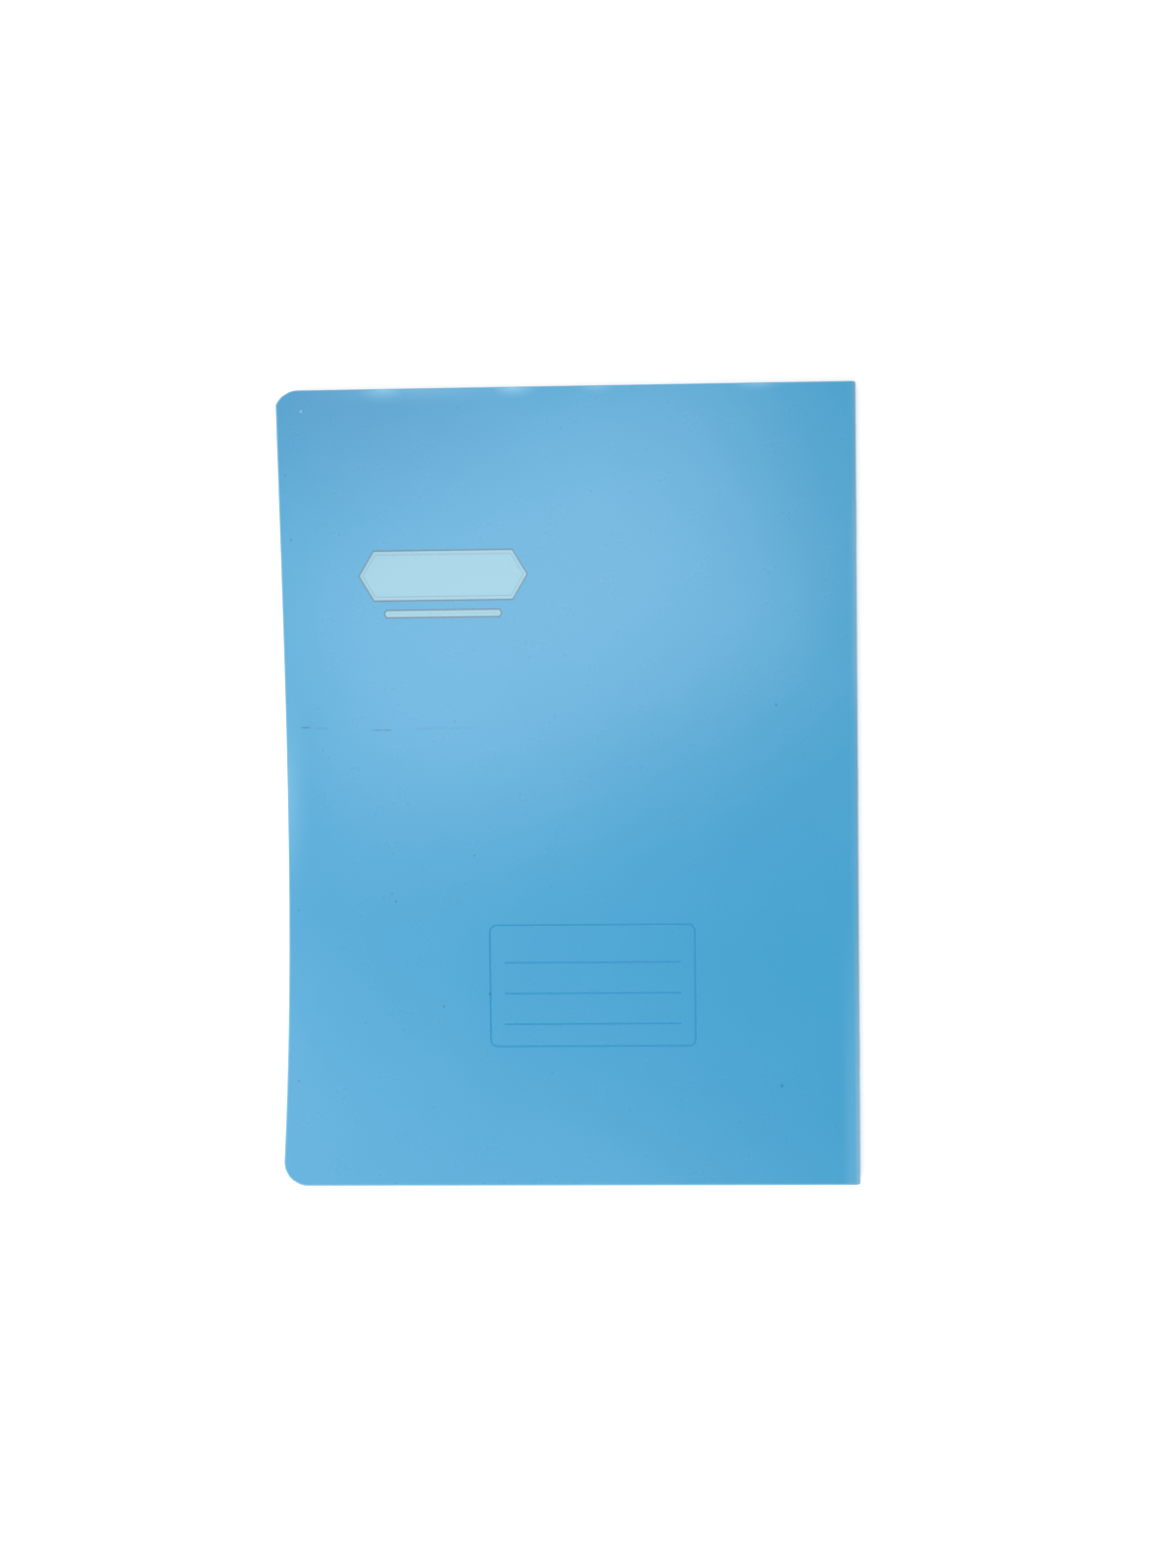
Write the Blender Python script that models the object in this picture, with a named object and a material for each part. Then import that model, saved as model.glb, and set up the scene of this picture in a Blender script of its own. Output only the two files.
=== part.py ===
"""A saddle-stapled notebook with a folded plastic cover, closed and lying on its back cover.

The fold is on the right (+X), the fore edge on the left (-X), the head towards +Y, and the front
cover faces up (+Z). Sizes are in metres. Every leaf turns about the fold line, which runs along Y
in the middle of the thickness, so each moving group hangs from an empty on its own hinge line.
"""

import math

import bmesh
import bpy
from mathutils import Matrix, Vector

# The closed book
BOOK_WIDTH = 0.205
BOOK_HEIGHT = 0.2825
FORE_CORNER_RADIUS = 0.0085
FORE_EDGE_BOW = 0.00305
# The bow as a share of that depth, over s from -1 at the tail to 1 at the head, is
# 1 + lean * s + curve * s^2 + twist * s^3. It is nothing at the tail and a quarter at the head.
BOW_LEAN = -0.29
BOW_CURVE = -0.885
BOW_TWIST = 0.405
COVER_THICKNESS = 0.0005
TRIM_INSET = 0.0003

# The sheets, each folded once into a front leaf and a back leaf
SHEET_COUNT = 20
SHEETS_IN_GATHER = 4
PAPER_THICKNESS = 0.0001
PAPER_AIR = 0.00002
COVER_AIR = 0.0001
FOLD_END_GAP = 0.0004

# The staples
STAPLE_COUNT = 3
STAPLE_CROWN = 0.012
STAPLE_CLINCH = 0.0035
WIRE_DIAMETER = 0.0005
WIRE_CLEARANCE = 0.0001
BORE_CLEARANCE = 0.00005
WIRE_BEND_RADIUS = 0.0004

# The crease beside the fold, about which the front cover opens
COVER_CREASE_LIFT = 0.00015

# The name panel pressed into the front cover
PANEL_WIDTH = 0.0735
PANEL_HEIGHT = 0.044
PANEL_FROM_FORE_EDGE = 0.1108
PANEL_FROM_TAIL = 0.0712
PANEL_CORNER_RADIUS = 0.0024
PANEL_LINE_COUNT = 3
PANEL_LINE_LENGTH = 0.063
PANEL_LINE_PITCH = 0.0109
PANEL_LINE_DROP = 0.0027
GROOVE_WIDTH = 0.0008
GROOVE_DEPTH = 0.00015

# How finely round outlines are divided
CORNER_STEPS = 6
BOW_STEPS = 10
FOLD_STEPS = 13
HOLE_SIDES = 8

# Worked out from the sizes above
STAPLE_PITCH = BOOK_HEIGHT / STAPLE_COUNT
SHEET_PITCH = PAPER_THICKNESS + PAPER_AIR
COVER_INNER_RADIUS = PAPER_AIR / 2 + SHEET_COUNT * SHEET_PITCH - PAPER_AIR + COVER_AIR
COVER_OUTER_RADIUS = COVER_INNER_RADIUS + COVER_THICKNESS
WIRE_RADIUS = WIRE_DIAMETER / 2
CROWN_RADIUS = COVER_OUTER_RADIUS + WIRE_CLEARANCE + WIRE_RADIUS
WHOLE_WIDTH = BOOK_WIDTH + WIRE_CLEARANCE + WIRE_DIAMETER
FORE_EDGE_X = -WHOLE_WIDTH / 2
FOLD_X = FORE_EDGE_X + BOOK_WIDTH - COVER_OUTER_RADIUS
FOLD_Z = COVER_OUTER_RADIUS
TOP_Z = 2 * COVER_OUTER_RADIUS
GATHER_COUNT = math.ceil(SHEET_COUNT / SHEETS_IN_GATHER)


def clear_scene():
    for old in list(bpy.data.objects):
        bpy.data.objects.remove(old, do_unlink=True)


def new_collection(name):
    collection = bpy.data.collections.new(name)
    bpy.context.scene.collection.children.link(collection)
    return collection


clear_scene()
NOTEBOOK = new_collection("notebook")
CUTTERS = new_collection("cutters")


def material(name, colour, roughness, metallic=0.0):
    """A Principled material, its colour given as linear red, green and blue."""
    made = bpy.data.materials.new(name)
    made.use_nodes = True
    shader = made.node_tree.nodes["Principled BSDF"]
    shader.inputs["Base Color"].default_value = (*colour, 1.0)
    shader.inputs["Roughness"].default_value = roughness
    shader.inputs["Metallic"].default_value = metallic
    return made


COVER_PLASTIC = material("cover_plastic", (0.13, 0.43, 0.69), 0.38)
PAPER = material("paper", (0.84, 0.83, 0.78), 0.85)
STAPLE_WIRE = material("staple_wire", (0.62, 0.62, 0.6), 0.3, 1.0)


def arc(centre_x, centre_y, radius, start, end, steps):
    """Points on an arc, the angles in degrees, both ends among them."""
    angles = [math.radians(start + (end - start) * i / steps) for i in range(steps + 1)]
    return [(centre_x + radius * math.cos(a), centre_y + radius * math.sin(a)) for a in angles]


def rounded_rectangle(width, height, radius):
    """A rectangle about the origin with four round corners, anticlockwise."""
    across = width / 2 - radius
    up = height / 2 - radius
    centres = [(across, up), (-across, up), (-across, -up), (across, -up)]
    outline = []
    for i, (x, y) in enumerate(centres):
        outline += arc(x, y, radius, 90 * i, 90 * i + 90, CORNER_STEPS)
    return outline


def bow_at(s):
    """How far the fore edge is drawn in at the share s of its height."""
    return FORE_EDGE_BOW * (1 + BOW_LEAN * s + BOW_CURVE * s ** 2 + BOW_TWIST * s ** 3)


def plate_outline(inset):
    """A leaf or a cover panel from above: square at the fold, round at the fore edge's corners.

    The fore edge is drawn in between its corners. At the head it is still drawn in a little
    where it meets the round corner, so the corner's arc stops short of a full quarter turn.
    """
    left = FORE_EDGE_X + inset - FOLD_X
    half = BOOK_HEIGHT / 2 - inset
    radius = FORE_CORNER_RADIUS - inset
    head_turn = 180 - math.degrees(math.acos(1 - bow_at(1) / radius))
    head = arc(left + radius, half - radius, radius, 90, head_turn, CORNER_STEPS)
    tail = arc(left + radius, radius - half, radius, 180, 270, CORNER_STEPS)
    top, bottom = head[-1][1], tail[0][1]
    shares = [1 - 2 * i / BOW_STEPS for i in range(1, BOW_STEPS)]
    bow = [(left + bow_at(s), (top + bottom) / 2 + s * (top - bottom) / 2) for s in shares]
    return [(-FOLD_END_GAP, -half), (-FOLD_END_GAP, half)] + head + bow + tail


def half_ring(inner, outer):
    """The section of a fold: half a ring that opens towards -X."""
    return arc(0, 0, outer, -90, 90, FOLD_STEPS) + arc(0, 0, inner, 90, -90, FOLD_STEPS)


def extruded_mesh(name, outlines, thickness):
    """Closed outlines in the XY plane, filled and given a thickness along Z, as a welded mesh."""
    curve = bpy.data.curves.new(name, "CURVE")
    curve.dimensions = "2D"
    curve.fill_mode = "BOTH"
    curve.extrude = thickness / 2
    for outline in outlines:
        spline = curve.splines.new("POLY")
        spline.points.add(len(outline) - 1)
        for point, (x, y) in zip(spline.points, outline):
            point.co = (x, y, 0.0, 1.0)
        spline.use_cyclic_u = True
    return welded_mesh(name, curve)


def welded_mesh(name, curve):
    """The mesh of a curve, its loose caps welded to its sides. The curve is removed."""
    holder = bpy.data.objects.new(name + "_curve", curve)
    bpy.context.scene.collection.objects.link(holder)
    graph = bpy.context.evaluated_depsgraph_get()
    mesh = bpy.data.meshes.new_from_object(holder.evaluated_get(graph))
    mesh.name = name
    bpy.data.objects.remove(holder, do_unlink=True)
    bpy.data.curves.remove(curve)
    weld(mesh)
    return mesh


def weld(mesh):
    shape = bmesh.new()
    shape.from_mesh(mesh)
    bmesh.ops.remove_doubles(shape, verts=shape.verts, dist=1e-7)
    bmesh.ops.recalc_face_normals(shape, faces=shape.faces)
    shape.to_mesh(mesh)
    shape.free()


def empty_at(name, x, z, parent=None):
    """A hinge line along Y through (x, z), which carries whatever turns about it."""
    hinge = bpy.data.objects.new(name, None)
    NOTEBOOK.objects.link(hinge)
    hinge.parent = parent
    base = parent_place(parent)
    hinge.location = (x - base[0], 0.0, z - base[1])
    return hinge


def parent_place(parent):
    """Where an unturned parent stands, as (x, z)."""
    x = 0.0
    z = 0.0
    while parent is not None:
        x += parent.location.x
        z += parent.location.z
        parent = parent.parent
    return x, z


def piece(name, mesh, finish, parent, x=0.0, z=0.0):
    """A named object that shows the mesh, placed by its offset from its parent's hinge line."""
    made = bpy.data.objects.new(name, mesh)
    NOTEBOOK.objects.link(made)
    made.parent = parent
    made.location = (x, 0.0, z)
    if not mesh.materials:
        mesh.materials.append(finish)
    return made


def cutter(name, mesh, x, y, z):
    """A hidden shape for a Boolean."""
    made = bpy.data.objects.new(name, mesh)
    CUTTERS.objects.link(made)
    made.location = (x, y, z)
    made.hide_render = True
    made.display_type = "WIRE"
    return made


def cut(target, tool):
    boolean = target.modifiers.new("cut_" + tool.name, "BOOLEAN")
    boolean.operation = "DIFFERENCE"
    boolean.solver = "EXACT"
    boolean.object = tool


def staple_places():
    """The Y of the middle of each staple."""
    return [STAPLE_PITCH * (i - (STAPLE_COUNT - 1) / 2) for i in range(STAPLE_COUNT)]


def leg_places():
    """The Y of every staple leg."""
    return [y + side * STAPLE_CROWN / 2 for y in staple_places() for side in (-1, 1)]


def leg_cutters():
    """Round bores along X, one for each staple leg, from the fold line out past the cover."""
    mesh = bpy.data.meshes.new("leg_bore")
    shape = bmesh.new()
    bmesh.ops.create_cone(
        shape,
        cap_ends=True,
        segments=HOLE_SIDES,
        radius1=WIRE_RADIUS + BORE_CLEARANCE,
        radius2=WIRE_RADIUS + BORE_CLEARANCE,
        depth=2 * COVER_OUTER_RADIUS,
    )
    bmesh.ops.rotate(shape, verts=shape.verts, matrix=quarter_turn_about_y())
    shape.to_mesh(mesh)
    shape.free()
    middle = FOLD_X + COVER_OUTER_RADIUS
    places = leg_places()
    return [cutter(f"leg_bore_{i}", mesh, middle, y, FOLD_Z) for i, y in enumerate(places, 1)]


def quarter_turn_about_y():
    return Matrix.Rotation(math.pi / 2, 3, "Y")


def make_fold(name, inner, outer, height, finish, bores):
    """A half-round strip along the fold line, bored for the staple legs."""
    mesh = extruded_mesh(name, [half_ring(inner, outer)], height)
    mesh.transform(upright())
    weld(mesh)
    fold = piece(name, mesh, finish, ROOT_HINGE)
    for bore in bores:
        cut(fold, bore)
    return fold


def upright():
    """Turns a section drawn in XY, extruded along Z, to stand in XZ and run along Y."""
    return Matrix.Rotation(math.pi / 2, 4, "X")


def make_covers(crease_hinge):
    """The two flat panels of the one plastic sheet, with the name panel pressed into the front."""
    mesh = extruded_mesh("cover_panel", [plate_outline(0.0)], COVER_THICKNESS)
    middle = COVER_OUTER_RADIUS - COVER_THICKNESS / 2
    piece("back_cover", mesh, COVER_PLASTIC, ROOT_HINGE, z=-middle)
    front = piece("front_cover", mesh.copy(), COVER_PLASTIC, crease_hinge)
    front.location.z = FOLD_Z + middle - parent_place(crease_hinge)[1]
    for tool in panel_cutters():
        cut(front, tool)


def panel_cutters():
    """The name panel's grooves: a round-cornered frame and its ruled lines."""
    x = FORE_EDGE_X + PANEL_FROM_FORE_EDGE
    y = PANEL_FROM_TAIL - BOOK_HEIGHT / 2
    deep = 2 * GROOVE_DEPTH
    outer = rounded_rectangle(PANEL_WIDTH, PANEL_HEIGHT, PANEL_CORNER_RADIUS)
    inner = rounded_rectangle(
        PANEL_WIDTH - 2 * GROOVE_WIDTH,
        PANEL_HEIGHT - 2 * GROOVE_WIDTH,
        PANEL_CORNER_RADIUS - GROOVE_WIDTH,
    )
    frame = extruded_mesh("panel_frame_groove", [outer, inner], deep)
    tools = [cutter("panel_frame", frame, x, y, TOP_Z)]
    groove = rounded_rectangle(PANEL_LINE_LENGTH, GROOVE_WIDTH, GROOVE_WIDTH * 0.49)
    line = extruded_mesh("panel_line_groove", [groove], deep)
    for i in range(PANEL_LINE_COUNT):
        up = PANEL_LINE_PITCH * ((PANEL_LINE_COUNT - 1) / 2 - i) - PANEL_LINE_DROP
        tools.append(cutter(f"panel_line_{i + 1}", line, x, y + up, TOP_Z))
    return tools


def sheet_face(sheet):
    """The distance from the mid-plane to the inner face of a sheet, 1 being the outermost."""
    return PAPER_AIR / 2 + (SHEET_COUNT - sheet) * SHEET_PITCH


def gather_of(sheet):
    """The gather, 1 being the outermost, that a sheet belongs to."""
    return (sheet - 1) // SHEETS_IN_GATHER + 1


def make_leaves(front_hinges, back_hinges):
    """Both leaves of every sheet. Leaf 1 lies under the front cover, the last on the back one."""
    mesh = extruded_mesh("leaf", [plate_outline(TRIM_INSET)], PAPER_THICKNESS)
    for sheet in range(1, SHEET_COUNT + 1):
        away = sheet_face(sheet) + PAPER_THICKNESS / 2
        gather = gather_of(sheet)
        last = 2 * SHEET_COUNT + 1 - sheet
        piece(f"leaf_{sheet:02d}", mesh, PAPER, front_hinges[gather], z=away)
        piece(f"leaf_{last:02d}", mesh, PAPER, back_hinges[gather], z=-away)


def make_sheet_folds(bores):
    """The folded backs of the sheets, one nested strip for each gather."""
    hollow = WIRE_RADIUS + WIRE_CLEARANCE
    height = BOOK_HEIGHT - 2 * TRIM_INSET
    for gather in range(1, GATHER_COUNT + 1):
        first = (gather - 1) * SHEETS_IN_GATHER + 1
        last = min(gather * SHEETS_IN_GATHER, SHEET_COUNT)
        outer = sheet_face(first) + PAPER_THICKNESS
        inner = max(sheet_face(last), hollow)
        make_fold(f"sheet_fold_{gather}", inner, outer, height, PAPER, bores)


def bent_wire(corners, radius):
    """A polyline through the corners, each inner corner replaced by a short arc."""
    points = [Vector(corners[0])]
    for before, at, after in zip(corners, corners[1:], corners[2:]):
        at = Vector(at)
        back = (Vector(before) - at).normalized()
        ahead = (Vector(after) - at).normalized()
        centre = at + radius * (back + ahead)
        for step in range(4):
            turn = math.pi / 2 * step / 3
            points.append(centre - radius * (math.cos(turn) * ahead + math.sin(turn) * back))
    points.append(Vector(corners[-1]))
    return points


def make_staple(name, y, hinge):
    """One wire staple: the crown outside the cover, the legs through the fold, clinched inside."""
    half = STAPLE_CROWN / 2
    inside = half - STAPLE_CLINCH
    corners = [
        (0, y - inside, 0),
        (0, y - half, 0),
        (CROWN_RADIUS, y - half, 0),
        (CROWN_RADIUS, y + half, 0),
        (0, y + half, 0),
        (0, y + inside, 0),
    ]
    curve = bpy.data.curves.new(name, "CURVE")
    curve.dimensions = "3D"
    curve.bevel_depth = WIRE_RADIUS
    curve.bevel_resolution = 2
    curve.use_fill_caps = True
    points = bent_wire(corners, WIRE_BEND_RADIUS)
    spline = curve.splines.new("POLY")
    spline.points.add(len(points) - 1)
    for point, place in zip(spline.points, points):
        point.co = (*place, 1.0)
    mesh = welded_mesh(name, curve)
    mesh.shade_smooth()
    return piece(name, mesh, STAPLE_WIRE, hinge)


ROOT_HINGE = empty_at("fold_line", FOLD_X, FOLD_Z)
STAPLE_HINGE = empty_at("staple_line_hinge", FOLD_X, FOLD_Z)
OPENING_HINGE = empty_at("centre_opening_hinge", FOLD_X, FOLD_Z)
CREASE_HINGE = empty_at("front_crease_hinge", FOLD_X, TOP_Z + COVER_CREASE_LIFT, OPENING_HINGE)

FRONT_HINGES = {1: OPENING_HINGE}
BACK_HINGES = {}
for number in range(1, GATHER_COUNT + 1):
    if number > 1:
        FRONT_HINGES[number] = empty_at(f"front_hinge_{number}", FOLD_X, FOLD_Z, OPENING_HINGE)
    BACK_HINGES[number] = empty_at(f"back_hinge_{number}", FOLD_X, FOLD_Z)

LEG_BORES = leg_cutters()
make_covers(CREASE_HINGE)
make_fold(
    "cover_fold", COVER_INNER_RADIUS, COVER_OUTER_RADIUS, BOOK_HEIGHT, COVER_PLASTIC, LEG_BORES
)
make_sheet_folds(LEG_BORES)
make_leaves(FRONT_HINGES, BACK_HINGES)
for number, place_y in enumerate(staple_places(), 1):
    make_staple(f"staple_{number}", place_y, STAPLE_HINGE)

print(f"closed notebook {BOOK_WIDTH:.4f} x {BOOK_HEIGHT:.4f} x {TOP_Z:.5f} m")
print(f"fold line at x {FOLD_X:.5f}, z {FOLD_Z:.5f}; crease at z {TOP_Z + COVER_CREASE_LIFT:.5f}")
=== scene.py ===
# %% [markdown]
# # A stapled notebook in a soft plastic cover
# Forty ruled leaves are folded from twenty sheets and stapled through the fold. One sheet of
# satin plastic wraps round them as the cover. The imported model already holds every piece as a
# plain solid on the body it moves with. This script lays a finer surface over each one and
# gives it its finish. It starts by loading that model, because every size is read from it.

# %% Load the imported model
import math

import bpy
import numpy as np
from mathutils import Matrix, Vector


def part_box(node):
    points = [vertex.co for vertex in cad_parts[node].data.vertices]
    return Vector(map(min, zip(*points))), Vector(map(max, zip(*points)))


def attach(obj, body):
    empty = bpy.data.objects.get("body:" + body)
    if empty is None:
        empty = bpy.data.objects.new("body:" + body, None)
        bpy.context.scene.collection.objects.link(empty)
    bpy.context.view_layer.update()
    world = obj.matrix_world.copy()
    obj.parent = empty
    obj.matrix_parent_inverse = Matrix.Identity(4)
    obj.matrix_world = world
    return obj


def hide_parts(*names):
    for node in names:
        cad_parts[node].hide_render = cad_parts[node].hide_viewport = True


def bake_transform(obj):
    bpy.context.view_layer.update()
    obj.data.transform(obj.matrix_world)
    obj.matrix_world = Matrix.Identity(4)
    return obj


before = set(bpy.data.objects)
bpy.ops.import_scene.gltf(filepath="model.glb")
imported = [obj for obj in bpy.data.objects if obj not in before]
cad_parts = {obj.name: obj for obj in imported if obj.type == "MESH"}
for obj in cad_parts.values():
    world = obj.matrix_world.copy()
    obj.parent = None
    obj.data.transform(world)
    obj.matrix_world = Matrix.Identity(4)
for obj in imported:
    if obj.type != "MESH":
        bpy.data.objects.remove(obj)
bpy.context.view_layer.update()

# %% [markdown]
# ## Sizes read from the solids
# The fold line runs along Y at the right, and the fore edge is at the left. The leaves and the
# two cover panels end at the fold line, where the folded strips begin. Only what the solids
# can't tell, such as the radius of a corner, is written here as a number.

# %% Measure the book
MM = 0.001
BACK_LOW, BACK_HIGH = (np.array(corner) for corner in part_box("back_cover"))
FRONT_LOW, FRONT_HIGH = (np.array(corner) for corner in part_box("front_cover"))
FOLD_LOW, FOLD_HIGH = (np.array(corner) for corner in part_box("cover_fold"))
FORE_X = FRONT_LOW[0]
FOLD_X = FOLD_LOW[0]
TOP_Z = FRONT_HIGH[2]
FOLD_Z = TOP_Z / 2
HALF_HEIGHT = FRONT_HIGH[1]
COVER_THICK = BACK_HIGH[2] - BACK_LOW[2]
COVER_END_X = FRONT_HIGH[0]
LEAF_COUNT = sum(name.startswith("leaf_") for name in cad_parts)
SHEET_COUNT = LEAF_COUNT // 2
GATHER_COUNT = sum(name.startswith("sheet_fold_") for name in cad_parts)
SHEETS_IN_GATHER = SHEET_COUNT // GATHER_COUNT
print(f"cover {(FOLD_HIGH[0] - FORE_X) / MM:.1f} x {2 * HALF_HEIGHT / MM:.1f} mm,",
      f"{TOP_Z / MM:.2f} mm thick, {LEAF_COUNT} leaves in {GATHER_COUNT} gathers")

# %% [markdown]
# ## Camera
# The photograph is taken from straight above with a slightly tilted camera. The focal length
# is given in pixels of a picture 1200 pixels wide, and the camera's place and turn are those
# that lay the cover's outline best on the photographed one. The camera comes first, because
# a mark seen at some pixel of the photograph is placed by following that pixel's ray down to
# the cover.

# %% Camera
PHOTO_WIDTH, PHOTO_HEIGHT = 1200, 1600
FOCAL_PIXELS = 1400
CAMERA_PLACE = np.array([0.0201, 0.0103, 0.4899])
CAMERA_TURN = Vector((-0.0188, 0.0270, -0.0098))
SENSOR_WIDTH = 36.0
camera_data = bpy.data.cameras.new("photo_camera")
camera_data.sensor_fit = "HORIZONTAL"
camera_data.sensor_width = SENSOR_WIDTH
camera_data.lens = SENSOR_WIDTH * FOCAL_PIXELS / PHOTO_WIDTH
camera = bpy.data.objects.new("photo_camera", camera_data)
camera_turn = Matrix.Rotation(CAMERA_TURN.length, 4, CAMERA_TURN.normalized())
camera.matrix_world = Matrix.Translation(Vector(CAMERA_PLACE)) @ camera_turn
bpy.context.scene.collection.objects.link(camera)
bpy.context.scene.camera = camera
bpy.context.scene.view_settings.view_transform = "Standard"


def on_cover(pixel_x, pixel_y):
    """x and y on the cover's face under a pixel: the camera's place plus its ray, made as long
    as it takes to come down to the height of the face."""
    across = (pixel_x - PHOTO_WIDTH / 2) / FOCAL_PIXELS
    down = (pixel_y - PHOTO_HEIGHT / 2) / FOCAL_PIXELS
    ray = np.array(camera_turn.to_3x3() @ Vector((across, -down, -1.0)))
    spot = CAMERA_PLACE + ray * (TOP_Z - CAMERA_PLACE[2]) / ray[2]
    return float(spot[0]), float(spot[1])


print("middle of the picture falls on", np.round(on_cover(PHOTO_WIDTH / 2, PHOTO_HEIGHT / 2), 4))

# %% [markdown]
# ## The trimmed outline
# Cover and leaves are cut together, so they share one outline. It is square at the fold and
# has two round corners at the fore edge, and the fore edge itself is drawn in slightly
# between them, most of all below its middle. At the head it is still drawn in a little where
# it meets the corner, so that corner is less than a full quarter turn. The outline is a
# function of the height on the page: for each y it gives the x of the fore edge. A second
# function gives the distance from any point to the outline, which later rounds the cut edges
# and places the wear.


# %% Outline of cover and leaves
CORNER_RADIUS = 8.5 * MM
FORE_EDGE_BOW = 3.05 * MM
BOW_SHAPE = (1.0, -0.29, -0.885, 0.405)
BOW_FADE = 40 * MM
SAME_PLACE_DIGITS = 7


def fore_edge(y, inset):
    """x of the fore edge at y: the larger of the corner's arc and the drawn-in edge.

    Arc: left + r - sqrt(r^2 - (|y| - straight)^2), which is left where |y| < straight.
    Edge: left + bow * (1 + a s + b s^2 + c s^3), with s from -1 at the tail corner's end to 1
    at the head corner's end. BOW_SHAPE holds 1, a, b and c.
    """
    left, half, radius = FORE_X + inset, HALF_HEIGHT - inset, CORNER_RADIUS - inset
    straight = half - radius
    past = np.clip(np.abs(y) - straight, 0, radius)
    arc = left + radius - np.sqrt(np.maximum(radius**2 - past**2, 0))
    at_head = FORE_EDGE_BOW * sum(BOW_SHAPE)
    top = straight + math.sqrt(radius**2 - (radius - at_head) ** 2)
    share = np.clip((2 * y - top + straight) / (top + straight), -1, 1)
    bow = FORE_EDGE_BOW * sum(part * share**power for power, part in enumerate(BOW_SHAPE))
    return np.maximum(arc, left + bow)


def rim_distance(x, y, inset=0.0):
    """How far a point lies inside the outline: the least of its distances to the three cut
    sides, and in a round corner also of the radius less the distance to the corner's centre."""
    left, half, radius = FORE_X + inset, HALF_HEIGHT - inset, CORNER_RADIUS - inset
    sides = np.minimum(x - fore_edge(y, inset), half - np.abs(y))
    from_centre = np.hypot(x - left - radius, np.abs(y) - (half - radius))
    in_corner = (x < left + radius) & (np.abs(y) > half - radius)
    corner = np.minimum(radius - from_centre, sides)
    return np.maximum(np.where(in_corner, corner, sides), 0)


def corner_rows(inset, edge_steps, arc_steps, middle):
    """y of the grid's rows: fine at head and tail, by equal angles along the corner arcs."""
    half, radius = HALF_HEIGHT - inset, CORNER_RADIUS - inset
    turns = np.sin(np.linspace(0, math.pi / 2, arc_steps))
    arc = half - radius + radius * turns
    upper = np.concatenate([arc[arc < half - edge_steps[-1]], half - np.array(edge_steps)])
    rows = np.concatenate([middle, upper, -upper])
    return np.unique(np.round(rows, SAME_PLACE_DIGITS))


def follow_fore_edge(columns, rows, inset):
    """Grid of x, y. The columns near the fore edge shift with it, and the shift fades evenly to
    nothing further in."""
    left = FORE_X + inset
    column, y = np.meshgrid(columns, rows)
    fade = np.clip(1 - (column - left) / BOW_FADE, 0, 1)
    return column + (fore_edge(y, inset) - left) * fade, y


print(f"fore edge at mid-height {float(fore_edge(np.array(0.0), 0)) / MM:.2f} mm")

# %% [markdown]
# ## A slab between two surfaces
# Every flat or folded piece here is a sheet of some thickness: a panel, a leaf or a folded
# strip. One helper closes them all. It takes two grids of points, one for each face, and
# closes them with walls round the rim. Solidify could give a flat grid a thickness too, but
# two grids let the edge be rounded and a groove be pressed into one face only. The place on
# the page goes into a UV map in metres, so patterns bend with a page when the book opens.


# %% Helpers that close a slab
SHEET_SHARP_ANGLE = 35


def grid_quads(rows, columns):
    """Corner numbers of the quads of a rows x columns grid, anticlockwise from its front."""
    number = np.arange(rows * columns).reshape(rows, columns)
    corners = number[:-1, :-1], number[:-1, 1:], number[1:, 1:], number[1:, :-1]
    return np.stack([corner.ravel() for corner in corners], axis=1)


def put_mesh(name, points, quads, place, attributes):
    """A mesh object at the origin, with its UV map in metres and one value a point for each
    named attribute."""
    mesh = bpy.data.meshes.new(name)
    mesh.from_pydata(points.tolist(), [], quads.tolist())
    corner = np.empty(len(mesh.loops), np.int32)
    mesh.loops.foreach_get("vertex_index", corner)
    uv = mesh.uv_layers.new(name="place")
    uv.data.foreach_set("uv", place[corner].astype(np.float32).ravel())
    for key, values in attributes.items():
        layer = mesh.attributes.new(key, "FLOAT", "POINT")
        layer.data.foreach_set("value", values.astype(np.float32).ravel())
    mesh.shade_smooth()
    mesh.set_sharp_from_angle(angle=math.radians(SHEET_SHARP_ANGLE))
    piece = bpy.data.objects.new(name, mesh)
    bpy.context.scene.collection.objects.link(piece)
    return piece


def slab(name, face, back, place, attributes):
    """The closed solid between two grids. The rim is one loop round the grid, and each of its
    edges joins the two faces with a quad."""
    rows, columns = face.shape[:2]
    count = rows * columns
    number = np.arange(count).reshape(rows, columns)
    front = grid_quads(rows, columns)
    rim = np.concatenate([number[0, :-1], number[:-1, -1], number[-1, :0:-1], number[:0:-1, 0]])
    after = np.roll(rim, -1)
    walls = np.stack([after, rim, rim + count, after + count], axis=1)
    quads = np.concatenate([front, front[:, ::-1] + count, walls])
    points = np.concatenate([face.reshape(-1, 3), back.reshape(-1, 3)])
    both = np.concatenate([place.reshape(-1, 2), place.reshape(-1, 2)])
    return put_mesh(name, points, quads, both, attributes)


def both_faces(face, back):
    """One value a point, first for the front grid and then for the back grid."""
    return np.concatenate([np.ravel(face), np.ravel(back)])


print("quads of a 3 x 4 grid:", len(grid_quads(3, 4)))

# %% [markdown]
# ## The cover's flat panels
# The cover is cut from half-millimetre plastic sheet. Its edge isn't sharp: the cutter leaves
# it slightly rounded, which is what catches a thin line of light. So the thickness shrinks
# over the last 0.15 mm as a quarter of an ellipse. The front panel has a name panel
# pressed into it: a round-cornered frame and three writing lines. These are real grooves with
# a cosine profile, and the grid gets extra rows and columns wherever one of them runs.

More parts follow.
